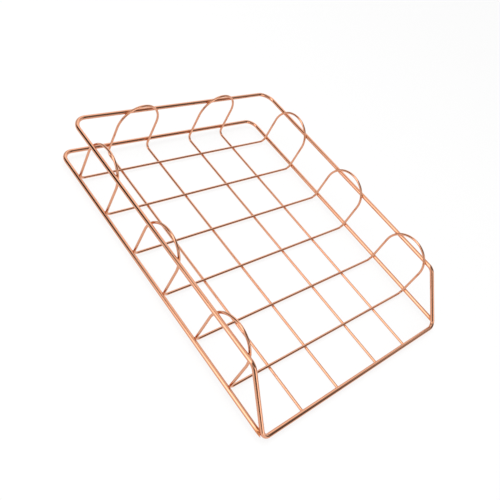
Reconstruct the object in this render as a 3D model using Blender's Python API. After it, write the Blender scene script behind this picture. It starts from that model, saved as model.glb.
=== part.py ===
"""Wire document tray: an open-front desk tray bent from round steel wire and plated rose gold.

Seven bent wires make it: a top frame and a base frame of thick wire, three cross loops and two floor
hairpins of thin wire. Where two wires would be welded a small gap is kept, so that each wire stays a
solid of its own.

Units are metres and +Z is up. The origin is on the table, under the middle of the tray. The low open
front faces -Y and the back wall is at +Y.
"""

import math

import bpy
from mathutils import Vector

# Wires
THICK_WIRE = 0.0038
THIN_WIRE = 0.0023
WELD_GAP = 0.0003
THICK_SIDES = 16
THIN_SIDES = 12
BEND_STEP = math.radians(12.0)

# Outline of the two thick frames, between wire axes
TRAY_WIDTH = 0.2500
TRAY_LENGTH = 0.2997
TOP_RAIL_HEIGHT = 0.0473
BASE_RAIL_HEIGHT = 0.0076
UPRIGHT_SETBACK = 0.0392
UPRIGHT_FOOT_INSET = 0.0020
TOP_CORNER_RADIUS = 0.0135
BASE_CORNER_RADIUS = 0.0108
UPRIGHT_TOP_RADIUS = 0.0090
UPRIGHT_FOOT_RADIUS = 0.0065

# Cross loops of thin wire, each with two floor runs and an arch on either side wall
LOOP_NAMES = ("cross_loop_front", "cross_loop_middle", "cross_loop_rear")
FRONT_MARGIN = 0.0440
REAR_MARGIN = 0.0299
LOOP_BEND_RADIUS = 0.0055
LOOP_ARCH_RISE = 0.0102

# Floor hairpins of thin wire, each with an arch on the back wall and two floor runs that end under the
# front bar, a short overhang past its axis
SIDE_MARGIN = 0.0508
HAIRPIN_SPACING = 0.0564
HAIRPIN_BEND_RADIUS = 0.0055
HAIRPIN_ARCH_RISE = 0.0077
HAIRPIN_OVERHANG = 0.0008

# Plating
PLATING_COLOUR = (0.86, 0.46, 0.32, 1.0)
PLATING_ROUGHNESS = 0.18


def resting_height(diameter, sides):
    """Height of a wire's axis when its lowest facet lies on the table."""
    return 0.5 * diameter * math.cos(math.pi / sides)


# Places that follow from the sizes above
RAIL_X = TRAY_WIDTH / 2
FOOT_X = RAIL_X - UPRIGHT_FOOT_INSET
FRONT_Y = -TRAY_LENGTH / 2
BACK_Y = TRAY_LENGTH / 2
HAIRPIN_HEIGHT = resting_height(THIN_WIRE, THIN_SIDES)
FRONT_BAR_HEIGHT = HAIRPIN_HEIGHT + THIN_WIRE / 2 + WELD_GAP + THICK_WIRE / 2
LOOP_HEIGHT = HAIRPIN_HEIGHT + THIN_WIRE + WELD_GAP
LEG_INSET = THICK_WIRE / 2 + WELD_GAP + THIN_WIRE / 2
LEG_X = RAIL_X - LEG_INSET
LEG_Y = BACK_Y - LEG_INSET


def clear_scene():
    for item in list(bpy.context.scene.objects):
        bpy.data.objects.remove(item, do_unlink=True)


def corner_arc(before, corner, after, radius):
    """Points of the arc that rounds one corner, from tangent point to tangent point."""
    to_before = (before - corner).normalized()
    to_after = (after - corner).normalized()
    opening = to_before.angle(to_after)
    turn = math.pi - opening
    setback = radius / math.tan(opening / 2)
    centre = corner + (to_before + to_after).normalized() * radius / math.sin(opening / 2)
    first = corner + to_before * setback - centre
    last = corner + to_after * setback - centre
    steps = max(2, math.ceil(turn / BEND_STEP))
    arc = []
    for step in range(steps + 1):
        share = step / steps
        first_weight = math.sin((1 - share) * turn) / math.sin(turn)
        last_weight = math.sin(share * turn) / math.sin(turn)
        arc.append(centre + first * first_weight + last * last_weight)
    return arc


def bent_path(corners, closed):
    """Wire axis through corners given as (point, bend radius); the ends of an open wire have no bend."""
    path = []
    for index, (place, radius) in enumerate(corners):
        if not closed and index in (0, len(corners) - 1):
            path.append(Vector(place))
            continue
        before = Vector(corners[index - 1][0])
        after = Vector(corners[(index + 1) % len(corners)][0])
        path.extend(corner_arc(before, Vector(place), after, radius))
    shortest = THIN_WIRE / 100
    kept = [path[0]]
    for place in path[1:]:
        if (place - kept[-1]).length > shortest:
            kept.append(place)
    if closed and (kept[0] - kept[-1]).length <= shortest:
        kept.pop()
    return kept


def plating(name):
    """Polished rose-gold plating, one material for each wire."""
    material = bpy.data.materials.new(name + "_plating")
    material.use_nodes = True
    shader = material.node_tree.nodes["Principled BSDF"]
    shader.inputs["Base Color"].default_value = PLATING_COLOUR
    shader.inputs["Metallic"].default_value = 1.0
    shader.inputs["Roughness"].default_value = PLATING_ROUGHNESS
    material.diffuse_color = PLATING_COLOUR
    return material


def bend_wire(name, corners, diameter, sides, closed):
    """One wire: a round bar that follows its bent axis, with a flat facet on its underside."""
    path = bent_path(corners, closed)
    curve = bpy.data.curves.new(name, "CURVE")
    curve.dimensions = "3D"
    curve.bevel_depth = diameter / 2
    curve.bevel_resolution = (sides - 4) // 2
    curve.use_fill_caps = not closed
    spline = curve.splines.new("POLY")
    spline.points.add(len(path) - 1)
    for point, place in zip(spline.points, path):
        point.co = (*place, 1.0)
        point.tilt = math.pi / sides
    spline.use_cyclic_u = closed
    spline.use_smooth = True
    curve.materials.append(plating(name))
    wire = bpy.data.objects.new(name, curve)
    bpy.context.scene.collection.objects.link(wire)
    return wire


def make_top_frame():
    """Top rails, the two leaning uprights and the low front bar, bent from one closed wire."""
    corner_y = FRONT_Y + UPRIGHT_SETBACK
    left_half = [
        ((-FOOT_X, FRONT_Y, FRONT_BAR_HEIGHT), UPRIGHT_FOOT_RADIUS),
        ((-RAIL_X, corner_y, TOP_RAIL_HEIGHT), UPRIGHT_TOP_RADIUS),
        ((-RAIL_X, BACK_Y, TOP_RAIL_HEIGHT), TOP_CORNER_RADIUS),
    ]
    right_half = [((-x, y, z), radius) for (x, y, z), radius in reversed(left_half)]
    return bend_wire("top_frame", left_half + right_half, THICK_WIRE, THICK_SIDES, closed=True)


def base_rail_end_y():
    """Where the square-cut base rail stops, one weld gap behind the leaning upright."""
    foot = Vector((FOOT_X, FRONT_Y, FRONT_BAR_HEIGHT))
    shoulder = Vector((RAIL_X, FRONT_Y + UPRIGHT_SETBACK, TOP_RAIL_HEIGHT))
    lean = (shoulder - foot).normalized()
    clearance = THICK_WIRE / 2 + WELD_GAP
    # A point of the end's rim lies |aside + y * per_length| away from the upright's axis
    per_length = Vector((0.0, 1.0, 0.0)).cross(lean)
    square = per_length.length_squared
    end_y = FRONT_Y
    for corner in range(THICK_SIDES):
        angle = 2 * math.pi * (corner + 0.5) / THICK_SIDES
        rim = Vector((RAIL_X, 0.0, BASE_RAIL_HEIGHT))
        rim += Vector((math.cos(angle), 0.0, math.sin(angle))) * THICK_WIRE / 2
        aside = (rim - foot).cross(lean)
        middle = -aside.dot(per_length) / square
        spread = middle**2 - (aside.length_squared - clearance**2) / square
        if spread > 0:
            end_y = max(end_y, middle + math.sqrt(spread))
    return end_y


def make_base_frame():
    """Lower rail round both sides and the back, its two ends meeting the uprights from behind."""
    end_y = base_rail_end_y()
    corners = [
        ((-RAIL_X, end_y, BASE_RAIL_HEIGHT), 0.0),
        ((-RAIL_X, BACK_Y, BASE_RAIL_HEIGHT), BASE_CORNER_RADIUS),
        ((RAIL_X, BACK_Y, BASE_RAIL_HEIGHT), BASE_CORNER_RADIUS),
        ((RAIL_X, end_y, BASE_RAIL_HEIGHT), 0.0),
    ]
    return bend_wire("base_frame", corners, THICK_WIRE, THICK_SIDES, closed=False)


def make_cross_loops():
    """Closed thin wires: floor, up the side wall, over an arch and back, the same on both sides."""
    run_count = 2 * len(LOOP_NAMES)
    pitch = (TRAY_LENGTH - FRONT_MARGIN - REAR_MARGIN) / (run_count - 1)
    arch_top = TOP_RAIL_HEIGHT + LOOP_ARCH_RISE
    loops = []
    for index, name in enumerate(LOOP_NAMES):
        front = FRONT_Y + FRONT_MARGIN + 2 * index * pitch
        rear = front + pitch
        arch_radius = pitch / 2
        right_half = [
            ((LEG_X, front, LOOP_HEIGHT), LOOP_BEND_RADIUS),
            ((LEG_X, front, arch_top), arch_radius),
            ((LEG_X, rear, arch_top), arch_radius),
            ((LEG_X, rear, LOOP_HEIGHT), LOOP_BEND_RADIUS),
        ]
        left_half = [((-x, y, z), radius) for (x, y, z), radius in reversed(right_half)]
        loops.append(bend_wire(name, right_half + left_half, THIN_WIRE, THIN_SIDES, closed=True))
    return loops


def make_floor_hairpins():
    """Open thin wires: from under the front bar along the floor, up the back wall, over an arch, back."""
    width = (TRAY_WIDTH - 2 * SIDE_MARGIN - HAIRPIN_SPACING) / 2
    end_y = FRONT_Y - HAIRPIN_OVERHANG
    arch_top = TOP_RAIL_HEIGHT + HAIRPIN_ARCH_RISE
    hairpins = []
    for name, side in (("floor_hairpin_left", -1), ("floor_hairpin_right", 1)):
        inner = side * HAIRPIN_SPACING / 2
        outer = inner + side * width
        arch_radius = width / 2
        corners = [
            ((inner, end_y, HAIRPIN_HEIGHT), 0.0),
            ((inner, LEG_Y, HAIRPIN_HEIGHT), HAIRPIN_BEND_RADIUS),
            ((inner, LEG_Y, arch_top), arch_radius),
            ((outer, LEG_Y, arch_top), arch_radius),
            ((outer, LEG_Y, HAIRPIN_HEIGHT), HAIRPIN_BEND_RADIUS),
            ((outer, end_y, HAIRPIN_HEIGHT), 0.0),
        ]
        hairpins.append(bend_wire(name, corners, THIN_WIRE, THIN_SIDES, closed=False))
    return hairpins


def main():
    clear_scene()
    make_top_frame()
    make_base_frame()
    make_cross_loops()
    make_floor_hairpins()


main()
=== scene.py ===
"""Wire document tray in polished rose gold: the finished look of its seven welded wires.

Each wire is swept along the same bends as its solid in the frame, in a finer round section, and every
place where two wires meet gets the small bead of its weld. Lengths are in metres and +Z is up.
"""

import math

import bpy
from bpy.props import FloatProperty, FloatVectorProperty, IntProperty, PointerProperty
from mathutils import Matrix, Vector


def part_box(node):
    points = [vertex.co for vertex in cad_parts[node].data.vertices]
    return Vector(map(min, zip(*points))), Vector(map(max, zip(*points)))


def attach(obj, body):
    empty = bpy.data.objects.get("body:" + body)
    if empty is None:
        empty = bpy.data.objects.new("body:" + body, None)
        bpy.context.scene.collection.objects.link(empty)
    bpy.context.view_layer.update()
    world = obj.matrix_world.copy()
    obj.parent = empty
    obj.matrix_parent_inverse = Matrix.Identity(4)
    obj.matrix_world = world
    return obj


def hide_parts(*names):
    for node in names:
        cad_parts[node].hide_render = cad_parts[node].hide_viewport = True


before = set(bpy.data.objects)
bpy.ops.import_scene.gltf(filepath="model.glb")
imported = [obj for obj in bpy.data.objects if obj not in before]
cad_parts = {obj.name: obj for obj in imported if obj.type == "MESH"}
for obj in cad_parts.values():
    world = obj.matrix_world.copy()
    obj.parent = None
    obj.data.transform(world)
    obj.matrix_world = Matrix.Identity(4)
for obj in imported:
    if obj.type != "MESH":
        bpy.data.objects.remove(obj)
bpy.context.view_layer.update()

bl_info = {
    "name": "Wire Document Tray",
    "version": (1, 0, 0),
    "blender": (4, 5, 0),
    "location": "3D View > Sidebar > Wire Tray",
    "description": "Makes the wires, welds and studio of a rose gold document tray",
    "category": "Object",
}

LOOP_NODES = ("cross_loop_front", "cross_loop_middle", "cross_loop_rear")
HAIRPIN_NODES = ("floor_hairpin_left", "floor_hairpin_right")

# The frame's wires are bars with flat sides, so a box reaches a flat and not the full radius
THICK_SIDES = 16
THIN_SIDES = 12
THICK_DIAMETER = 0.0038
THIN_DIAMETER = 0.0023
WELD_GAP = 0.0003

# An edge between two faces that turns by more than this stays sharp
SHARP_ANGLE = math.radians(40)

# Faces around and along the weld beads, and how wide a flared bead gets for the radius of its bar
BEAD_FACETS = 24
BEAD_RINGS = 6
BUTT_FACETS = 32
BUTT_RINGS = 8
FLARE_SHARE = 0.94

# Patterns of the plating and the beads: scale in patches per metre, and how strongly each one shows
CLOUD_SCALE = 55.0
CLOUD_EDGES = (0.35, 0.65)  # thick plating below the first, thin above the second
SPECKLE_SCALE = 900.0
SPECKLE_LIFT = 0.35  # least share of the weld tint where the heat is full
MARK_SCALE = 260.0
MARK_SPREAD = 0.12
LEAST_ROUGHNESS = 0.04
LINE_SCALE = 5200.0
LINE_STRETCH = 0.02  # scale along the wire against the scale across it
RIPPLE_SCALE = 420.0
BEAD_LUMP_SCALE = 900.0
BEAD_LUMP_SPREAD = 0.35


def flat_reach(diameter, sides):
    """How far a flat of a bar with this many sides lies from its axis."""
    return 0.5 * diameter * math.cos(math.pi / sides)


THICK_REACH = flat_reach(THICK_DIAMETER, THICK_SIDES)
THIN_REACH = flat_reach(THIN_DIAMETER, THIN_SIDES)
TOP_LOW, TOP_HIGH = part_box("top_frame")
BASE_LOW, BASE_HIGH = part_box("base_frame")


class TraySizes(bpy.types.PropertyGroup):
    """Sizes of the bent wires, axis to axis where not said otherwise."""

    thick_diameter: FloatProperty(
        name="Thick Wire",
        description="Diameter of the wire of the top and base frames",
        default=THICK_DIAMETER,
        unit="LENGTH",
    )
    thin_diameter: FloatProperty(
        name="Thin Wire",
        description="Diameter of the wire of the loops and hairpins",
        default=THIN_DIAMETER,
        unit="LENGTH",
    )
    width: FloatProperty(
        name="Width",
        description="Distance between the two side rails",
        default=BASE_HIGH.x - BASE_LOW.x - 2 * THICK_REACH,
        unit="LENGTH",
    )
    front: FloatProperty(
        name="Front",
        description="Place of the front bar along the tray",
        default=TOP_LOW.y + THICK_REACH,
        unit="LENGTH",
    )
    back: FloatProperty(
        name="Back",
        description="Place of the back rails along the tray",
        default=BASE_HIGH.y - THICK_REACH,
        unit="LENGTH",
    )
    bar_height: FloatProperty(
        name="Front Bar Height",
        description="Height of the front bar above the table",
        default=THIN_REACH + THIN_DIAMETER / 2 + WELD_GAP + THICK_DIAMETER / 2,
        unit="LENGTH",
    )
    top_height: FloatProperty(
        name="Top Rail Height",
        description="Height of the top rails above the table",
        default=TOP_HIGH.z - THICK_REACH,
        unit="LENGTH",
    )
    base_height: FloatProperty(
        name="Base Rail Height",
        description="Height of the base rails above the table",
        default=(BASE_LOW.z + BASE_HIGH.z) / 2,
        unit="LENGTH",
    )
    upright_setback: FloatProperty(
        name="Upright Setback",
        description="How far the top of the front uprights leans back",
        default=0.0392,
        unit="LENGTH",
    )
    foot_inset: FloatProperty(
        name="Upright Foot Inset",
        description="How far the foot of the front uprights stands in from its rail",
        default=0.0020,
        unit="LENGTH",
    )
    foot_bend: FloatProperty(
        name="Upright Foot Bend",
        description="Bend radius between front bar and uprights",
        default=0.0065,
        unit="LENGTH",
    )
    shoulder_bend: FloatProperty(
        name="Upright Top Bend",
        description="Bend radius between uprights and top rails",
        default=0.0090,
        unit="LENGTH",
    )
    top_bend: FloatProperty(
        name="Top Corner Bend",
        description="Bend radius of the top frame's back corners",
        default=0.0135,
        unit="LENGTH",
    )
    base_bend: FloatProperty(
        name="Base Corner Bend",
        description="Bend radius of the base frame's back corners",
        default=0.0108,
        unit="LENGTH",
    )
    thin_bend: FloatProperty(
        name="Thin Wire Bend",
        description="Bend radius of the thin wires between floor and wall",
        default=0.0055,
        unit="LENGTH",
    )
    arch_flat: FloatProperty(
        name="Arch Flat",
        description="Straight bit left at the top of each arch, so that its two bends stay apart",
        default=0.0002,
        unit="LENGTH",
    )
    thick_facets: IntProperty(
        name="Thick Wire Facets",
        description="Faces around the thick wires",
        default=32,
    )
    thin_facets: IntProperty(
        name="Thin Wire Facets",
        description="Faces around the thin wires",
        default=24,
    )
    bend_steps: IntProperty(
        name="Bend Steps",
        description="Points along each bend",
        default=24,
    )
    straight_step: FloatProperty(
        name="Straight Step",
        description="Longest face along a straight run",
        default=0.0015,
        unit="LENGTH",
    )
    bead_rise: FloatProperty(
        name="Bead Rise",
        description="How far the wires part at the rim of a weld bead",
        default=0.00036,
        unit="LENGTH",
    )
    bead_neck: FloatProperty(
        name="Bead Neck",
        description="How far a weld bead draws in halfway between its wires",
        default=0.22,
        subtype="FACTOR",
    )
    bead_sink: FloatProperty(
        name="Bead Sink",
        description="How deep the rim of a weld bead lies in its wires",
        default=0.00004,
        unit="LENGTH",
    )
    butt_length: FloatProperty(
        name="Butt Bead Length",
        description="How far the bead at a wire's end runs back along it",
        default=0.0012,
        unit="LENGTH",
    )
    butt_flare: FloatProperty(
        name="Butt Bead Flare",
        description="How much wider than its wire the bead at a wire's end gets",
        default=0.0006,
        unit="LENGTH",
    )
    heat_reach: FloatProperty(
        name="Heat Reach",
        description="How far from a weld its warmer colour shows",
        default=0.0042,
        unit="LENGTH",
    )


class TrayFinish(bpy.types.PropertyGroup):
    """Colours and gloss of the plating."""

    plating: FloatVectorProperty(
        name="Plating",
        description="Colour of the plating",
        default=(0.70, 0.338, 0.203),
        size=3,
        min=0.0,
        max=1.0,
        subtype="COLOR",
    )
    thin_plating: FloatVectorProperty(
        name="Paler Plating",
        description="Colour where the plating lies thinner",
        default=(0.73, 0.360, 0.225),
        size=3,
        min=0.0,
        max=1.0,
        subtype="COLOR",
    )
    weld_tint: FloatVectorProperty(
        name="Weld Tint",
        description="Colour of the plating over a weld",
        default=(0.66, 0.25, 0.10),
        size=3,
        min=0.0,
        max=1.0,
        subtype="COLOR",
    )
    roughness: FloatProperty(
        name="Roughness",
        description="Roughness of the polished plating",
        default=0.09,
        min=0.0,
        max=1.0,
        subtype="FACTOR",
    )
    weld_roughness: FloatProperty(
        name="Weld Roughness",
        description="Roughness of the plating over a weld",
        default=0.34,
        min=0.0,
        max=1.0,
        subtype="FACTOR",
    )
    drawing_depth: FloatProperty(
        name="Drawing Line Depth",
        description="Depth of the fine lines that drawing left along the wire",
        default=0.000004,
        unit="LENGTH",
        precision=6,
    )
    ripple_depth: FloatProperty(
        name="Ripple Depth",
        description="Depth of the soft ripple of the plating",
        default=0.000008,
        unit="LENGTH",
        precision=6,
    )
    weld_lump_depth: FloatProperty(
        name="Weld Lump Depth",
        description="Depth of the lumps in the plating over a weld",
        default=0.00006,
        unit="LENGTH",
        precision=6,
    )


class StudioLook(bpy.types.PropertyGroup):
    """Floor, light and camera of the studio."""

    floor_colour: FloatVectorProperty(
        name="Floor",
        description="Colour of the floor",
        default=(0.92, 0.92, 0.92),
        size=3,
        min=0.0,
        max=1.0,
        subtype="COLOR",
    )
    floor_glow: FloatProperty(
        name="Floor White",
        description="Share of plain white in what the camera sees of the floor",
        default=0.85,
        min=0.0,
        max=1.0,
        subtype="FACTOR",
    )
    tent_level: FloatProperty(
        name="Tent Level",
        description="Brightness of the pale tent around the tray",
        default=1.08,
        min=0.0,
    )
    lamp_power: FloatProperty(
        name="Lamp Power",
        description="Power of the soft lamp above the tray",
        default=6.0,
        unit="POWER",
    )
    lens: FloatProperty(
        name="Lens",
        description="Focal length of the camera, in millimetres on a 36 mm sensor",
        default=45.443,
        subtype="DISTANCE_CAMERA",
    )


def sizes():
    return bpy.context.scene.tray_sizes


def finish_of_tray():
    return bpy.context.scene.tray_finish


def studio():
    return bpy.context.scene.tray_studio


# Node trees


def step(tree, kind, feeds=None, **settings):
    """Adds one node; a feed is a value or another node's output, by input name or number."""
    node = tree.nodes.new(kind)
    for setting, value in settings.items():
        setattr(node, setting, value)
    for socket, feed in (feeds or {}).items():
        if isinstance(feed, bpy.types.NodeSocket):
            tree.links.new(feed, node.inputs[socket])
        else:
            node.inputs[socket].default_value = feed
    return node


def number(tree, operation, *feeds):
    """Output of one Math node."""
    return step(tree, "ShaderNodeMath", dict(enumerate(feeds)), operation=operation).outputs[0]


def vector(tree, operation, *feeds):
    """Output of one Vector Math node."""
    node = step(tree, "ShaderNodeVectorMath", dict(enumerate(feeds)), operation=operation)
    return node.outputs["Value" if operation in ("LENGTH", "DISTANCE") else "Vector"]


def stretch(tree, direction, amount):
    """A vector times a number."""
    feeds = {0: direction, "Scale": amount}
    return step(tree, "ShaderNodeVectorMath", feeds, operation="SCALE").outputs["Vector"]


def fade(tree, value, start, end):
    """1 up to the start and 0 past the end, with a smooth fall between them."""
    feeds = {"Value": value, "From Min": start, "From Max": end, "To Min": 1.0, "To Max": 0.0}
    return step(tree, "ShaderNodeMapRange", feeds, interpolation_type="SMOOTHSTEP").outputs["Result"]


def noise(tree, place, scale, detail, roughness=0.5):
    """A soft random pattern from 0 to 1, with its middle at 0.5."""
    feeds = {"Vector": place, "Scale": scale, "Detail": detail, "Roughness": roughness}
    return step(tree, "ShaderNodeTexNoise", feeds).outputs["Fac"]


def swing(tree, pattern, spread):
    """A noise pattern's swing to both sides of its middle."""
    return number(tree, "MULTIPLY", number(tree, "SUBTRACT", pattern, 0.5), spread)


def mix_colour(tree, factor, first, second):
    """Output of a Mix node for colours, whose two colours are its inputs 6 and 7."""
    feeds = {0: factor, 6: first, 7: second}
    return step(tree, "ShaderNodeMix", feeds, data_type="RGBA").outputs[2]


def stored(tree, name, kind="FLOAT"):
    """A field that reads a stored attribute."""
    node = step(tree, "GeometryNodeInputNamedAttribute", {"Name": name}, data_type=kind)
    return node.outputs["Attribute"]


def store(tree, geometry, name, value, kind="FLOAT"):
    """Stores a field on the points of a geometry."""
    feeds = {"Geometry": geometry, "Name": name, "Value": value}
    node = step(tree, "GeometryNodeStoreNamedAttribute", feeds, data_type=kind, domain="POINT")
    return node.outputs["Geometry"]


def new_geometry_tree(name, inputs):
    """A Geometry Nodes tree with its named inputs, given as (name, socket kind)."""
    tree = bpy.data.node_groups.new(name, "GeometryNodeTree")
    tree.interface.new_socket("Geometry", in_out="INPUT", socket_type="NodeSocketGeometry")
    for label, kind in inputs:
        tree.interface.new_socket(label, in_out="INPUT", socket_type="NodeSocket" + kind)
    tree.interface.new_socket("Geometry", in_out="OUTPUT", socket_type="NodeSocketGeometry")
    return tree, tree.nodes.new("NodeGroupInput").outputs


def close_tree(tree, geometry, material):
    """Smooth faces with sharp rims, real geometry and one material, then the group's output."""
    angle = step(tree, "GeometryNodeInputMeshEdgeAngle").outputs["Unsigned Angle"]
    sharp = number(tree, "GREATER_THAN", angle, SHARP_ANGLE)
    feeds = {"Geometry": geometry, "Selection": sharp, "Shade Smooth": False}
    rims = step(tree, "GeometryNodeSetShadeSmooth", feeds, domain="EDGE").outputs["Geometry"]
    real = step(tree, "GeometryNodeRealizeInstances", {"Geometry": rims}).outputs["Geometry"]
    feeds = {"Geometry": real, "Material": material}
    coated = step(tree, "GeometryNodeSetMaterial", feeds).outputs["Geometry"]
    step(tree, "NodeGroupOutput", {"Geometry": coated})


def grow(obj, tree, values):
    """Runs the tree on an object and keeps the result as the object's plain mesh."""
    modifier = obj.modifiers.new(tree.name, "NODES")
    modifier.node_group = tree
    for item in tree.interface.items_tree:
        if item.in_out == "INPUT" and item.name in values:
            modifier[item.identifier] = values[item.name]
    depsgraph = bpy.context.evaluated_depsgraph_get()
    mesh = bpy.data.meshes.new_from_object(
        obj.evaluated_get(depsgraph), preserve_all_data_layers=True, depsgraph=depsgraph
    )
    obj.modifiers.remove(modifier)
    plan = obj.data
    obj.data = mesh
    mesh.name = obj.name
    bpy.data.meshes.remove(plan)
    if not mesh.polygons:
        raise RuntimeError(f"{obj.name}: the tree made no faces")


def object_of(name, mesh):
    obj = bpy.data.objects.new(name, mesh)
    bpy.context.scene.collection.objects.link(obj)
    return obj


def wire_tree():
    """A round wire along the edges of a mesh, bent at each vertex by its stored radius."""
    name = "Bent Wire"
    if name in bpy.data.node_groups:
        return bpy.data.node_groups[name]
    tree, inputs = new_geometry_tree(
        name,
        (
            ("Wire Diameter", "Float"),
            ("Facets", "Int"),
            ("Bend Steps", "Int"),
            ("Straight Step", "Float"),
            ("Weld Places", "Object"),
            ("Heat Reach", "Float"),
            ("Material", "Material"),
        ),
    )
    curve = step(tree, "GeometryNodeMeshToCurve", {"Mesh": inputs["Geometry"]}).outputs["Curve"]
    feeds = {"Curve": curve, "Count": inputs["Bend Steps"], "Radius": stored(tree, "bend_radius")}
    feeds["Limit Radius"] = False
    bent = step(tree, "GeometryNodeFilletCurve", feeds, mode="POLY").outputs["Curve"]

    here = step(tree, "GeometryNodeInputPosition").outputs["Position"]
    feeds = {"Offset": 1}
    next_point = step(tree, "GeometryNodeOffsetPointInCurve", feeds).outputs["Point Index"]
    feeds = {"Index": next_point, "Value": here}
    there = step(tree, "GeometryNodeFieldAtIndex", feeds, data_type="FLOAT_VECTOR").outputs["Value"]
    run = vector(tree, "DISTANCE", here, there)
    cuts = number(tree, "FLOOR", number(tree, "DIVIDE", run, inputs["Straight Step"]))
    feeds = {"Curve": bent, "Cuts": cuts}
    fine = step(tree, "GeometryNodeSubdivideCurve", feeds).outputs["Curve"]
    length = step(tree, "GeometryNodeSplineParameter").outputs["Length"]
    measured = store(tree, fine, "along", length)

    radius = number(tree, "DIVIDE", inputs["Wire Diameter"], 2.0)
    feeds = {"Resolution": inputs["Facets"], "Radius": radius}
    circle = step(tree, "GeometryNodeCurvePrimitiveCircle", feeds, mode="RADIUS").outputs["Curve"]
    section = store(tree, circle, "section", here, "FLOAT_VECTOR")
    feeds = {"Curve": measured, "Profile Curve": section, "Fill Caps": True}
    skin = step(tree, "GeometryNodeCurveToMesh", feeds).outputs["Mesh"]

    # The place on the wire as if it were straight: across in X and Y, along in Z
    feeds = {"Vector": stored(tree, "section", "FLOAT_VECTOR")}
    across = step(tree, "ShaderNodeSeparateXYZ", feeds).outputs
    feeds = {"X": across["X"], "Y": across["Y"], "Z": stored(tree, "along")}
    rod_place = step(tree, "ShaderNodeCombineXYZ", feeds).outputs["Vector"]
    marked = store(tree, skin, "rod_place", rod_place, "FLOAT_VECTOR")

    feeds = {"Object": inputs["Weld Places"]}
    welds = step(tree, "GeometryNodeObjectInfo", feeds).outputs["Geometry"]
    feeds = {"Geometry": welds}
    nearest = step(tree, "GeometryNodeProximity", feeds, target_element="POINTS").outputs["Distance"]
    heat = fade(tree, nearest, 0.0, inputs["Heat Reach"])
    heated = store(tree, marked, "weld_heat", heat)
    close_tree(tree, heated, inputs["Material"])
    return tree


def bead_tree():
    """A weld bead at each point, between the two round wires that the point's attributes describe."""
    name = "Weld Beads"
    if name in bpy.data.node_groups:
        return bpy.data.node_groups[name]
    tree, inputs = new_geometry_tree(
        name,
        (
            ("Bead Rise", "Float"),
            ("Bead Neck", "Float"),
            ("Bead Sink", "Float"),
            ("Facets", "Int"),
            ("Rings", "Int"),
            ("Material", "Material"),
        ),
    )
    here = step(tree, "GeometryNodeInputPosition").outputs["Position"]
    feeds = {"Mesh": inputs["Geometry"]}
    points = step(tree, "GeometryNodeMeshToPoints", feeds).outputs["Points"]
    centred = store(tree, points, "centre", here, "FLOAT_VECTOR")
    feeds = {"Vertices": inputs["Facets"], "Side Segments": inputs["Rings"], "Radius": 1.0, "Depth": 1.0}
    drum = step(tree, "GeometryNodeMeshCylinder", feeds, fill_type="NGON").outputs["Mesh"]
    plan = store(tree, drum, "plan", here, "FLOAT_VECTOR")
    feeds = {"Points": centred, "Instance": plan}
    placed = step(tree, "GeometryNodeInstanceOnPoints", feeds).outputs["Instances"]
    real = step(tree, "GeometryNodeRealizeInstances", {"Geometry": placed}).outputs["Geometry"]

    # Direction from the contact outwards, and how squarely it leaves each wire
    feeds = {"Vector": stored(tree, "plan", "FLOAT_VECTOR")}
    unit = step(tree, "ShaderNodeSeparateXYZ", feeds).outputs
    facing = stored(tree, "facing", "FLOAT_VECTOR")
    first_way = stored(tree, "first_way", "FLOAT_VECTOR")
    second_way = stored(tree, "second_way", "FLOAT_VECTOR")
    beside = vector(tree, "CROSS_PRODUCT", facing, first_way)
    outward = vector(
        tree, "ADD", stretch(tree, first_way, unit["X"]), stretch(tree, beside, unit["Y"])
    )
    radii = (stored(tree, "first_radius"), stored(tree, "second_radius"))
    leaves = [
        vector(tree, "LENGTH", vector(tree, "CROSS_PRODUCT", outward, way))
        for way in (first_way, second_way)
    ]
    curving = [
        number(tree, "DIVIDE", number(tree, "POWER", leave, 2.0), radius)
        for leave, radius in zip(leaves, radii)
    ]
    doubled = number(tree, "MULTIPLY", inputs["Bead Rise"], 2.0)
    reach = number(tree, "SQRT", number(tree, "DIVIDE", doubled, number(tree, "ADD", *curving)))

    # Height of the rim on each wire's round surface
    half_gap = number(tree, "DIVIDE", stored(tree, "gap"), 2.0)
    lifts = []
    for leave, radius in zip(leaves, radii):
        aside = number(tree, "POWER", number(tree, "MULTIPLY", reach, leave), 2.0)
        level = number(tree, "SUBTRACT", number(tree, "POWER", radius, 2.0), aside)
        level = number(tree, "SQRT", number(tree, "MAXIMUM", level, 0.0))
        drop = number(tree, "SUBTRACT", radius, level)
        lift = number(tree, "ADD", number(tree, "ADD", half_gap, drop), inputs["Bead Sink"])
        lifts.append(lift)
    share = number(tree, "ADD", unit["Z"], 0.5)
    spanned = number(tree, "MULTIPLY", share, number(tree, "ADD", *lifts))
    height = number(tree, "SUBTRACT", spanned, lifts[0])

    # The bead draws in between its two rims, a little unevenly
    ends = number(tree, "POWER", number(tree, "MULTIPLY", unit["Z"], 2.0), 2.0)
    middle = number(tree, "SUBTRACT", 1.0, ends)
    drawn_in = number(tree, "MULTIPLY", middle, inputs["Bead Neck"])
    centre = stored(tree, "centre", "FLOAT_VECTOR")
    rim_place = vector(tree, "ADD", centre, stretch(tree, outward, reach))
    uneven = swing(tree, noise(tree, rim_place, BEAD_LUMP_SCALE, detail=1.0), BEAD_LUMP_SPREAD)
    width = number(tree, "ADD", number(tree, "SUBTRACT", 1.0, drawn_in), uneven)
    sideways = stretch(tree, outward, number(tree, "MULTIPLY", reach, width))
    rise = stretch(tree, facing, height)
    place = vector(tree, "ADD", centre, vector(tree, "ADD", sideways, rise))
    feeds = {"Geometry": real, "Position": place}
    shaped = step(tree, "GeometryNodeSetPosition", feeds).outputs["Geometry"]
    hot = store(tree, shaped, "weld_heat", 1.0)
    marked = store(tree, hot, "rod_place", here, "FLOAT_VECTOR")
    close_tree(tree, marked, inputs["Material"])
    return tree


# Plating


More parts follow.
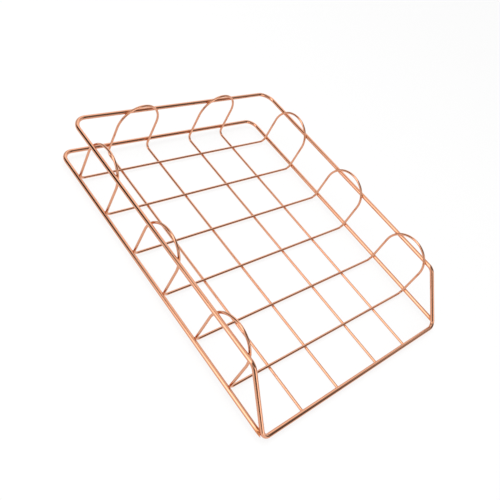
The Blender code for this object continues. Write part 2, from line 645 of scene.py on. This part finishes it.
def plating_material():
    """Polished rose-gold plating over drawn steel wire, with warmer and duller metal at the welds."""
    name = "polished_plating"
    if name in bpy.data.materials:
        return bpy.data.materials[name]
    look = finish_of_tray()
    material = bpy.data.materials.new(name)
    material.use_nodes = True
    material.diffuse_color = (*look.plating, 1.0)
    tree = material.node_tree
    shader = tree.nodes["Principled BSDF"]
    shader.inputs["Metallic"].default_value = 1.0

    place = step(tree, "ShaderNodeTexCoord").outputs["Object"]
    rod = step(tree, "ShaderNodeAttribute", attribute_name="rod_place").outputs["Vector"]
    heat = step(tree, "ShaderNodeAttribute", attribute_name="weld_heat").outputs["Fac"]

    # Colour: clouds of paler plating, and a speckled tint over the welds
    clouds = noise(tree, place, CLOUD_SCALE, detail=3.0, roughness=0.6)
    feeds = {"Value": clouds, "From Min": CLOUD_EDGES[0], "From Max": CLOUD_EDGES[1]}
    thinness = step(tree, "ShaderNodeMapRange", feeds).outputs["Result"]
    coat = mix_colour(tree, thinness, (*look.plating, 1.0), (*look.thin_plating, 1.0))
    speckle = noise(tree, place, SPECKLE_SCALE, detail=4.0, roughness=0.65)
    broken = number(tree, "MULTIPLY", heat, number(tree, "ADD", speckle, SPECKLE_LIFT))
    tinted = number(tree, "MINIMUM", broken, 1.0)
    colour = mix_colour(tree, tinted, coat, (*look.weld_tint, 1.0))
    tree.links.new(colour, shader.inputs["Base Color"])

    # Roughness: faint handling marks, and duller welds
    marks = noise(tree, place, MARK_SCALE, detail=5.0, roughness=0.7)
    polished = number(tree, "ADD", swing(tree, marks, MARK_SPREAD), look.roughness)
    duller = number(tree, "MULTIPLY", tinted, look.weld_roughness - look.roughness)
    rough = number(tree, "MAXIMUM", number(tree, "ADD", polished, duller), LEAST_ROUGHNESS)
    tree.links.new(rough, shader.inputs["Roughness"])

    # Relief: lines along the wire from drawing, a soft ripple, and lumps at the welds
    feeds = {"Vector": rod, "Scale": (1.0, 1.0, LINE_STRETCH)}
    drawn = step(tree, "ShaderNodeMapping", feeds, vector_type="POINT").outputs["Vector"]
    lines = noise(tree, drawn, LINE_SCALE, detail=2.0)
    ripple = noise(tree, place, RIPPLE_SCALE, detail=1.0)
    lumps = number(tree, "MULTIPLY", speckle, heat)
    relief = number(tree, "MULTIPLY", lines, look.drawing_depth)
    relief = number(tree, "ADD", relief, number(tree, "MULTIPLY", ripple, look.ripple_depth))
    relief = number(tree, "ADD", relief, number(tree, "MULTIPLY", lumps, look.weld_lump_depth))
    feeds = {"Height": relief, "Strength": 1.0, "Distance": 1.0}
    bump = step(tree, "ShaderNodeBump", feeds).outputs["Normal"]
    tree.links.new(bump, shader.inputs["Normal"])
    return material


# Places and bends of the wires


def loop_run_places(node):
    """Front and rear run of a cross loop, its leg, floor height and arch top, from its box."""
    low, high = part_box(node)
    return {
        "runs": (low.y + THIN_REACH, high.y - THIN_REACH),
        "leg": high.x - THIN_REACH,
        "floor": low.z + THIN_REACH,
        "top": high.z - THIN_REACH,
    }


def hairpin_run_places(node):
    """Left and right run of a hairpin, its tips, leg, floor height and arch top, from its box."""
    low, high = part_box(node)
    return {
        "runs": (low.x + THIN_REACH, high.x - THIN_REACH),
        "tip": low.y,
        "leg": high.y - THIN_REACH,
        "floor": low.z + THIN_REACH,
        "top": high.z - THIN_REACH,
    }


def top_frame_corners():
    size = sizes()
    side = size.width / 2
    left_half = [
        ((size.foot_inset - side, size.front, size.bar_height), size.foot_bend),
        ((-side, size.front + size.upright_setback, size.top_height), size.shoulder_bend),
        ((-side, size.back, size.top_height), size.top_bend),
    ]
    return left_half + [((-x, y, z), bend) for (x, y, z), bend in reversed(left_half)]


def base_frame_corners():
    size = sizes()
    side = size.width / 2
    left_half = [
        ((-side, BASE_LOW.y, size.base_height), 0.0),
        ((-side, size.back, size.base_height), size.base_bend),
    ]
    return left_half + [((-x, y, z), bend) for (x, y, z), bend in reversed(left_half)]


def cross_loop_corners(node):
    size = sizes()
    place = loop_run_places(node)
    front, rear = place["runs"]
    leg, floor, top = place["leg"], place["floor"], place["top"]
    arch_bend = (rear - front - size.arch_flat) / 2
    right_half = [
        ((leg, front, floor), size.thin_bend),
        ((leg, front, top), arch_bend),
        ((leg, rear, top), arch_bend),
        ((leg, rear, floor), size.thin_bend),
    ]
    return right_half + [((-x, y, z), bend) for (x, y, z), bend in reversed(right_half)]


def hairpin_corners(node):
    size = sizes()
    place = hairpin_run_places(node)
    left, right = place["runs"]
    leg, floor = place["leg"], place["floor"]
    arch_bend = (right - left - size.arch_flat) / 2
    return [
        ((left, place["tip"], floor), 0.0),
        ((left, leg, floor), size.thin_bend),
        ((left, leg, place["top"]), arch_bend),
        ((right, leg, place["top"]), arch_bend),
        ((right, leg, floor), size.thin_bend),
        ((right, place["tip"], floor), 0.0),
    ]


# Welds: each has its place, the way from the first wire to the second, and both wires' course


def wire_radii():
    """Radius of the thin and of the thick wire."""
    size = sizes()
    return size.thin_diameter / 2, size.thick_diameter / 2


def weld_between(first, second):
    """The weld of two wires, each given as (nearest point of its axis, course, radius)."""
    first_point, first_way, first_radius = first
    second_point, second_way, second_radius = second
    apart = second_point - first_point
    facing = apart.normalized()
    gap = apart.length - first_radius - second_radius
    return {
        "centre": first_point + facing * (first_radius + gap / 2),
        "facing": facing,
        "first_way": (first_way - first_way.dot(facing) * facing).normalized(),
        "second_way": (second_way - second_way.dot(facing) * facing).normalized(),
        "first_radius": first_radius,
        "second_radius": second_radius,
        "gap": gap,
    }


def floor_welds():
    """Hairpins below, cross loops above."""
    thin = sizes().thin_diameter / 2
    welds = []
    for hairpin in HAIRPIN_NODES:
        below = hairpin_run_places(hairpin)
        for loop in LOOP_NODES:
            above = loop_run_places(loop)
            for x in below["runs"]:
                for y in above["runs"]:
                    lower = (Vector((x, y, below["floor"])), Vector((0, 1, 0)), thin)
                    upper = (Vector((x, y, above["floor"])), Vector((1, 0, 0)), thin)
                    welds.append(weld_between(lower, upper))
    return welds


def wall_legs():
    """Every pair of thin legs under an arch, with its way outwards and the rails' course and place."""
    size = sizes()
    pairs = []
    for node in LOOP_NODES:
        for side in (-1, 1):
            pair = loop_run_places(node)
            pair.update(outward=Vector((side, 0, 0)), course=Vector((0, 1, 0)), rail=size.width / 2)
            pairs.append(pair)
    for node in HAIRPIN_NODES:
        pair = hairpin_run_places(node)
        pair.update(outward=Vector((0, 1, 0)), course=Vector((1, 0, 0)), rail=size.back)
        pairs.append(pair)
    return pairs


def top_rail_weld(pair, along):
    """Weld of a leg on the top rail outside it, where the leg leans with its arch."""
    thin, thick = wire_radii()
    outward, course, height = pair["outward"], pair["course"], sizes().top_height
    near, far = pair["runs"]
    middle = (near + far) / 2
    arch_bend = (far - near) / 2
    above = height - (pair["top"] - arch_bend)
    lean = math.asin(above / arch_bend) if above > 0 else 0.0
    side = math.copysign(1.0, along - middle)
    level = course * (middle + side * arch_bend * math.cos(lean)) + Vector((0, 0, height))
    leg_way = course * (-side * math.sin(lean)) + Vector((0, 0, math.cos(lean)))
    leg = (outward * pair["leg"] + level, leg_way, thin)
    return weld_between(leg, (outward * pair["rail"] + level, course, thick))


def base_rail_weld(pair, along):
    """Weld of a leg on the base rail, where the leg may still be in its bend off the floor."""
    size = sizes()
    thin, thick = wire_radii()
    outward, course = pair["outward"], pair["course"]
    level = course * along + Vector((0, 0, size.base_height))
    rail_point = outward * pair["rail"] + level
    bend_top = pair["floor"] + size.thin_bend
    if size.base_height >= bend_top:
        leg_point = outward * pair["leg"] + level
        leg_way = Vector((0, 0, 1))
    else:
        centre = outward * (pair["leg"] - size.thin_bend) + course * along + Vector((0, 0, bend_top))
        spoke = (rail_point - centre).normalized()
        leg_point = centre + spoke * size.thin_bend
        leg_way = spoke.cross(course)
    return weld_between((leg_point, leg_way, thin), (rail_point, course, thick))


def top_rail_welds():
    return [top_rail_weld(pair, along) for pair in wall_legs() for along in pair["runs"]]


def base_rail_welds():
    return [base_rail_weld(pair, along) for pair in wall_legs() for along in pair["runs"]]


def front_bar_welds():
    """Ends of the hairpins under the front bar."""
    size = sizes()
    thin, thick = wire_radii()
    welds = []
    for node in HAIRPIN_NODES:
        place = hairpin_run_places(node)
        for x in place["runs"]:
            lower = (Vector((x, size.front, place["floor"])), Vector((0, 1, 0)), thin)
            upper = (Vector((x, size.front, size.bar_height)), Vector((1, 0, 0)), thick)
            welds.append(weld_between(lower, upper))
    return welds


def upright_butts():
    """Ends of the base frame on the back of the leaning uprights."""
    size = sizes()
    rise = size.top_height - size.bar_height
    butts = []
    for side in (-1, 1):
        rail_x = side * size.width / 2
        foot_x = rail_x - side * size.foot_inset
        butts.append(
            {
                "end": Vector((rail_x, BASE_LOW.y, size.base_height)),
                "way": Vector((0, 1, 0)),
                "radius": size.thick_diameter / 2,
                "bar": Vector((foot_x, size.front, size.bar_height)),
                "bar_way": Vector((rail_x - foot_x, size.upright_setback, rise)).normalized(),
            }
        )
    return butts


def weld_places_object():
    """A helper with one vertex at every weld, for the heat colour."""
    crossings = floor_welds() + base_rail_welds() + top_rail_welds() + front_bar_welds()
    places = [crossing["centre"] for crossing in crossings]
    places += [butt["end"] for butt in upright_butts()]
    mesh = bpy.data.meshes.new("weld_places")
    mesh.from_pydata(places, [], [])
    return object_of("weld_places", mesh)


def discard(obj):
    mesh = obj.data
    bpy.data.objects.remove(obj)
    bpy.data.meshes.remove(mesh)


# Making pieces


def make_wire(node, corners, diameter, facets, closed):
    """One finished wire in place of its node."""
    size = sizes()
    count = len(corners)
    edges = [(index, (index + 1) % count) for index in range(count if closed else count - 1)]
    mesh = bpy.data.meshes.new(node)
    mesh.from_pydata([place for place, bend in corners], edges, [])
    bends = mesh.attributes.new("bend_radius", "FLOAT", "POINT")
    bends.data.foreach_set("value", [bend for place, bend in corners])
    wire = object_of(node + "_wire", mesh)
    helper = weld_places_object()
    values = {
        "Wire Diameter": diameter,
        "Facets": facets,
        "Bend Steps": size.bend_steps,
        "Straight Step": size.straight_step,
        "Weld Places": helper,
        "Heat Reach": size.heat_reach,
        "Material": plating_material(),
    }
    grow(wire, wire_tree(), values)
    discard(helper)
    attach(wire, "root")
    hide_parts(node)


def make_beads(name, welds):
    """One object with the beads of a group of welds."""
    size = sizes()
    mesh = bpy.data.meshes.new(name)
    mesh.from_pydata([weld["centre"] for weld in welds], [], [])
    for field in ("facing", "first_way", "second_way"):
        values = mesh.attributes.new(field, "FLOAT_VECTOR", "POINT")
        values.data.foreach_set("vector", [part for weld in welds for part in weld[field]])
    for field in ("first_radius", "second_radius", "gap"):
        values = mesh.attributes.new(field, "FLOAT", "POINT")
        values.data.foreach_set("value", [weld[field] for weld in welds])
    beads = object_of(name, mesh)
    values = {
        "Bead Rise": size.bead_rise,
        "Bead Neck": size.bead_neck,
        "Bead Sink": size.bead_sink,
        "Facets": BEAD_FACETS,
        "Rings": BEAD_RINGS,
        "Material": plating_material(),
    }
    grow(beads, bead_tree(), values)
    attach(beads, "root")


def on_bar(butt, place, bar_radius):
    """The place moved along the butting wire's way onto the surface of the bar."""
    way = butt["way"]
    axis = butt["bar_way"]
    offset = place - butt["bar"]
    across = offset - offset.dot(axis) * axis
    slope = way - way.dot(axis) * axis
    # The distance d along the way solves a * d**2 + b * d + c = 0
    a = slope.dot(slope)
    b = 2 * across.dot(slope)
    c = across.dot(across) - bar_radius**2
    root = max(b * b - 4 * a * c, 0.0)
    return place + way * ((-b + math.sqrt(root)) / (2 * a))


def make_butt_beads(name, butts):
    """Flared beads where a wire's end meets the side of a bar."""
    size = sizes()
    bar_radius = size.thick_diameter / 2
    flare_limit = FLARE_SHARE * bar_radius
    places = []
    faces = []
    for butt in butts:
        first = len(places)
        end, way, radius = butt["end"], butt["way"], butt["radius"]
        sideways = butt["bar_way"].cross(way).normalized()
        upward = way.cross(sideways)
        for ring in range(BUTT_RINGS + 1):
            share = ring / BUTT_RINGS
            for turn in range(BUTT_FACETS):
                angle = 2 * math.pi * turn / BUTT_FACETS
                spoke = sideways * math.cos(angle) + upward * math.sin(angle)
                start = end + way * size.butt_length + spoke * radius
                corner = on_bar(butt, end + spoke * radius, bar_radius)
                rim = end + spoke * (radius + size.butt_flare)
                rim_side = (rim - butt["bar"]).dot(sideways)
                excess = abs(rim_side) - flare_limit
                if excess > 0:
                    rim -= sideways * math.copysign(excess, rim_side)
                rim.z = max(rim.z, 0.0)
                finish = on_bar(butt, rim, bar_radius) - way * size.bead_sink
                place = start * (1 - share) ** 2 + corner * 2 * share * (1 - share)
                place += finish * share**2
                place.z = max(place.z, 0.0)
                places.append(place)
        for ring in range(BUTT_RINGS):
            for turn in range(BUTT_FACETS):
                here = first + ring * BUTT_FACETS + turn
                beside = first + ring * BUTT_FACETS + (turn + 1) % BUTT_FACETS
                faces.append((here, beside, beside + BUTT_FACETS, here + BUTT_FACETS))
        last = first + BUTT_RINGS * BUTT_FACETS
        faces.append(tuple(first + turn for turn in reversed(range(BUTT_FACETS))))
        faces.append(tuple(last + turn for turn in range(BUTT_FACETS)))
    mesh = bpy.data.meshes.new(name)
    mesh.from_pydata(places, [], faces)
    heat = mesh.attributes.new("weld_heat", "FLOAT", "POINT")
    heat.data.foreach_set("value", [1.0] * len(places))
    rod = mesh.attributes.new("rod_place", "FLOAT_VECTOR", "POINT")
    rod.data.foreach_set("vector", [part for place in places for part in place])
    mesh.materials.append(plating_material())
    mesh.shade_smooth()
    mesh.set_sharp_from_angle(angle=SHARP_ANGLE)
    beads = object_of(name, mesh)
    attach(beads, "root")


class OBJECT_OT_tray_top_frame(bpy.types.Operator):
    """Make the closed thick wire of top rails, uprights and front bar"""

    bl_idname = "object.tray_top_frame"
    bl_label = "Top Frame"

    def execute(self, context):
        size = sizes()
        make_wire("top_frame", top_frame_corners(), size.thick_diameter, size.thick_facets, closed=True)
        return {"FINISHED"}


class OBJECT_OT_tray_base_frame(bpy.types.Operator):
    """Make the open thick wire of the lower rails"""

    bl_idname = "object.tray_base_frame"
    bl_label = "Base Frame"

    def execute(self, context):
        size = sizes()
        make_wire("base_frame", base_frame_corners(), size.thick_diameter, size.thick_facets, closed=False)
        return {"FINISHED"}


class OBJECT_OT_tray_cross_loops(bpy.types.Operator):
    """Make the three closed thin wires with an arch on either side wall"""

    bl_idname = "object.tray_cross_loops"
    bl_label = "Cross Loops"

    def execute(self, context):
        size = sizes()
        for node in LOOP_NODES:
            make_wire(node, cross_loop_corners(node), size.thin_diameter, size.thin_facets, closed=True)
        return {"FINISHED"}


class OBJECT_OT_tray_hairpins(bpy.types.Operator):
    """Make the two open thin wires with an arch on the back wall"""

    bl_idname = "object.tray_hairpins"
    bl_label = "Floor Hairpins"

    def execute(self, context):
        size = sizes()
        for node in HAIRPIN_NODES:
            make_wire(node, hairpin_corners(node), size.thin_diameter, size.thin_facets, closed=False)
        return {"FINISHED"}


class OBJECT_OT_tray_welds(bpy.types.Operator):
    """Make the weld beads where the wires cross and where they end on another"""

    bl_idname = "object.tray_welds"
    bl_label = "Weld Beads"

    def execute(self, context):
        make_beads("floor_weld_beads", floor_welds())
        make_beads("base_rail_weld_beads", base_rail_welds())
        make_beads("top_rail_weld_beads", top_rail_welds())
        make_beads("front_bar_weld_beads", front_bar_welds())
        make_butt_beads("upright_weld_beads", upright_butts())
        return {"FINISHED"}


# Studio

CAMERA_PLACE = Vector((-0.41127, -0.19311, 0.38554))
CAMERA_TURN = (math.radians(45.3170), math.radians(-22.7809), math.radians(-38.4927))
CAMERA_SHIFT = (0.07348, -0.05273)
CAMERA_NEAR = 0.01
LAMP_PLACE = Vector((-0.35, 0.15, 1.0))
LAMP_SIZE = 0.8

# The floor lies a little under the wires, so that they don't share a plane with it
FLOOR_HALF = 6.0
FLOOR_DROP = 0.00006
FLOOR_ROUGHNESS = 0.9

# A square dark sheet that only the metal mirrors, which paints a dark reflection of the floor into the
# wires: the middle of its edge nearest the tray, and the length of its sides
SHEET_EDGE = Vector((-0.222, -0.249, 0.0002))
SHEET_SIZE = 0.6
PAINTED_REFLECTION_COLOUR = (0.03, 0.03, 0.03)
SHEET_ROUGHNESS = 1.0

# Cards hung in the tent for the metal to reflect: azimuth and height of the middle, half width and half
# height, and brightness. Angles are in degrees. Azimuth 0 is the tray's front and 90 its right side.
CARDS = (
    (-138, 22, 26, 34, 0.02),  # black screen, left and behind
    (-98, 32, 13, 30, 2.6),  # tall bright strip on the left
    (-72, 15, 14, 26, 0.55),  # grey card on the left
    (-36, 8, 27, 20, 0.08),  # low black screen, left and in front
    (10, 16, 18, 22, 2.0),  # bright card in front
    (48, 24, 18, 22, 0.08),  # black screen, right and in front
    (95, 38, 20, 18, 0.45),  # grey card on the right
    (10, 61, 84, 18, 0.14),  # dark ceiling above the front
    (145, 42, 36, 22, 1.35),  # bright card, right and behind
    (180, 10, 22, 22, 0.65),  # low grey card behind
)
CARD_WIDTH_BLUR = 9.0
CARD_HEIGHT_BLUR = 8.0


def matt_paper(name, colour, roughness):
    """A plain material without any gloss."""
    material = bpy.data.materials.new(name)
    material.use_nodes = True
    shader = material.node_tree.nodes["Principled BSDF"]
    shader.inputs["Base Color"].default_value = (*colour, 1.0)
    shader.inputs["Roughness"].default_value = roughness
    shader.inputs["Specular IOR Level"].default_value = 0.0
    return material


def make_floor():
    """Pale floor that looks white to the camera and the metal, and keeps a faint shadow."""
    look = studio()
    corners = [(-1, -1), (1, -1), (1, 1), (-1, 1)]
    places = [(x * FLOOR_HALF, y * FLOOR_HALF, -FLOOR_DROP) for x, y in corners]
    mesh = bpy.data.meshes.new("floor")
    mesh.from_pydata(places, [], [(0, 1, 2, 3)])
    floor = object_of("floor", mesh)
    material = matt_paper("floor_paper", look.floor_colour, FLOOR_ROUGHNESS)
    tree = material.node_tree
    paper = tree.nodes["Principled BSDF"].outputs["BSDF"]
    white = step(tree, "ShaderNodeEmission", {"Color": (1, 1, 1, 1), "Strength": 1.0}).outputs[0]
    rays = step(tree, "ShaderNodeLightPath").outputs
    seen = number(tree, "MAXIMUM", rays["Is Camera Ray"], rays["Is Glossy Ray"])
    seen = number(tree, "MAXIMUM", seen, rays["Is Transmission Ray"])
    share = number(tree, "MULTIPLY", seen, look.floor_glow)
    mixed = step(tree, "ShaderNodeMixShader", {0: share, 1: paper, 2: white}).outputs[0]
    tree.links.new(mixed, tree.nodes["Material Output"].inputs["Surface"])
    mesh.materials.append(material)


def make_painted_reflection_sheet():
    """Dark sheet on the floor, left and in front, that only the metal sees: a painted dark reflection of
    the floor in the wires.
    """
    outward = Vector((-1, -1, 0)).normalized()
    aside = Vector((1, -1, 0)).normalized()
    middle = SHEET_EDGE + outward * SHEET_SIZE / 2
    corners = [(-1, -1), (-1, 1), (1, 1), (1, -1)]
    places = [middle + (outward * a + aside * b) * SHEET_SIZE / 2 for a, b in corners]
    mesh = bpy.data.meshes.new("dark_sheet")
    mesh.from_pydata(places, [], [(0, 1, 2, 3)])
    mesh.materials.append(matt_paper("dark_paper", PAINTED_REFLECTION_COLOUR, SHEET_ROUGHNESS))
    sheet = object_of("dark_sheet", mesh)
    # Hidden from the camera, from diffuse light and from shadows, the sheet shows only as a painted dark
    # reflection in the metal
    sheet.visible_camera = False
    sheet.visible_diffuse = False
    sheet.visible_shadow = False


def card_share(tree, angle, half_angle, blur):
    """1 inside a card's half angle and 0 outside, with a soft edge."""
    return fade(tree, number(tree, "ABSOLUTE", angle), half_angle - blur, half_angle + blur)


def make_tent():
    """Pale tent with bright and dark cards that light the tray; the camera sees plain white."""
    look = studio()
    world = bpy.data.worlds.new("tent")
    bpy.context.scene.world = world
    world.use_nodes = True
    tree = world.node_tree
    background = tree.nodes["Background"]
    way = step(tree, "ShaderNodeTexCoord").outputs["Generated"]
    ways = step(tree, "ShaderNodeSeparateXYZ", {"Vector": way}).outputs
    forwards = number(tree, "MULTIPLY", ways["Y"], -1.0)
    azimuth = number(tree, "DEGREES", number(tree, "ARCTAN2", ways["X"], forwards))
    height = number(tree, "DEGREES", number(tree, "ARCSINE", ways["Z"]))
    level = look.tent_level
    for card_azimuth, card_height, half_width, half_height, brightness in CARDS:
        turned = number(tree, "WRAP", number(tree, "SUBTRACT", azimuth, card_azimuth), 180.0, -180.0)
        raised = number(tree, "SUBTRACT", height, card_height)
        across = card_share(tree, turned, half_width, CARD_WIDTH_BLUR)
        upward = card_share(tree, raised, half_height, CARD_HEIGHT_BLUR)
        share = number(tree, "MULTIPLY", across, upward)
        change = number(tree, "MULTIPLY", share, number(tree, "SUBTRACT", brightness, level))
        level = number(tree, "ADD", level, change)
    rays = step(tree, "ShaderNodeLightPath").outputs
    unseen = number(tree, "SUBTRACT", 1.0, rays["Is Camera Ray"])
    lit = number(tree, "MULTIPLY", level, unseen)
    strength = number(tree, "ADD", lit, rays["Is Camera Ray"])
    tree.links.new(strength, background.inputs["Strength"])
    background.inputs["Color"].default_value = (1, 1, 1, 1)


def make_lamp():
    """Soft round lamp turned to the tray, which the metal doesn't mirror."""
    light = bpy.data.lights.new("soft_lamp", "AREA")
    light.shape = "DISK"
    light.size = LAMP_SIZE
    light.energy = studio().lamp_power
    lamp = bpy.data.objects.new("soft_lamp", light)
    lamp.location = LAMP_PLACE
    lamp.rotation_euler = (-LAMP_PLACE).to_track_quat("-Z", "Y").to_euler()
    lamp.visible_glossy = False
    bpy.context.scene.collection.objects.link(lamp)


def make_camera():
    data = bpy.data.cameras.new("camera")
    data.lens = studio().lens
    data.shift_x, data.shift_y = CAMERA_SHIFT
    data.clip_start = CAMERA_NEAR
    camera = bpy.data.objects.new("camera", data)
    camera.location = CAMERA_PLACE
    camera.rotation_euler = CAMERA_TURN
    bpy.context.scene.collection.objects.link(camera)
    bpy.context.scene.camera = camera


class OBJECT_OT_tray_studio(bpy.types.Operator):
    """Make the floor, the sheet of painted dark floor reflection, the tent, the lamp and the camera"""

    bl_idname = "object.tray_studio"
    bl_label = "Studio"

    def execute(self, context):
        make_floor()
        make_painted_reflection_sheet()
        make_tent()
        make_lamp()
        make_camera()
        context.scene.view_settings.view_transform = "Standard"
        return {"FINISHED"}


OPERATORS = (
    OBJECT_OT_tray_top_frame,
    OBJECT_OT_tray_base_frame,
    OBJECT_OT_tray_cross_loops,
    OBJECT_OT_tray_hairpins,
    OBJECT_OT_tray_welds,
    OBJECT_OT_tray_studio,
)


class VIEW3D_PT_tray(bpy.types.Panel):
    """Sidebar panel with the tray's makers, sizes and colours"""

    bl_label = "Wire Document Tray"
    bl_idname = "VIEW3D_PT_tray"
    bl_space_type = "VIEW_3D"
    bl_region_type = "UI"
    bl_category = "Wire Tray"

    def draw(self, context):
        for operator in OPERATORS:
            self.layout.operator(operator.bl_idname)
        for group in (context.scene.tray_sizes, context.scene.tray_finish, context.scene.tray_studio):
            box = self.layout.box()
            for prop in group.bl_rna.properties:
                if prop.identifier not in ("rna_type", "name"):
                    box.prop(group, prop.identifier)


CLASSES = (TraySizes, TrayFinish, StudioLook, *OPERATORS, VIEW3D_PT_tray)


def register():
    for item in CLASSES:
        bpy.utils.register_class(item)
    bpy.types.Scene.tray_sizes = PointerProperty(type=TraySizes)
    bpy.types.Scene.tray_finish = PointerProperty(type=TrayFinish)
    bpy.types.Scene.tray_studio = PointerProperty(type=StudioLook)


def unregister():
    del bpy.types.Scene.tray_studio
    del bpy.types.Scene.tray_finish
    del bpy.types.Scene.tray_sizes
    for item in reversed(CLASSES):
        bpy.utils.unregister_class(item)


def main():
    register()
    bpy.ops.object.tray_studio()
    bpy.ops.object.tray_top_frame()
    bpy.ops.object.tray_base_frame()
    bpy.ops.object.tray_cross_loops()
    bpy.ops.object.tray_hairpins()
    bpy.ops.object.tray_welds()


if __name__ == "__main__":
    main()
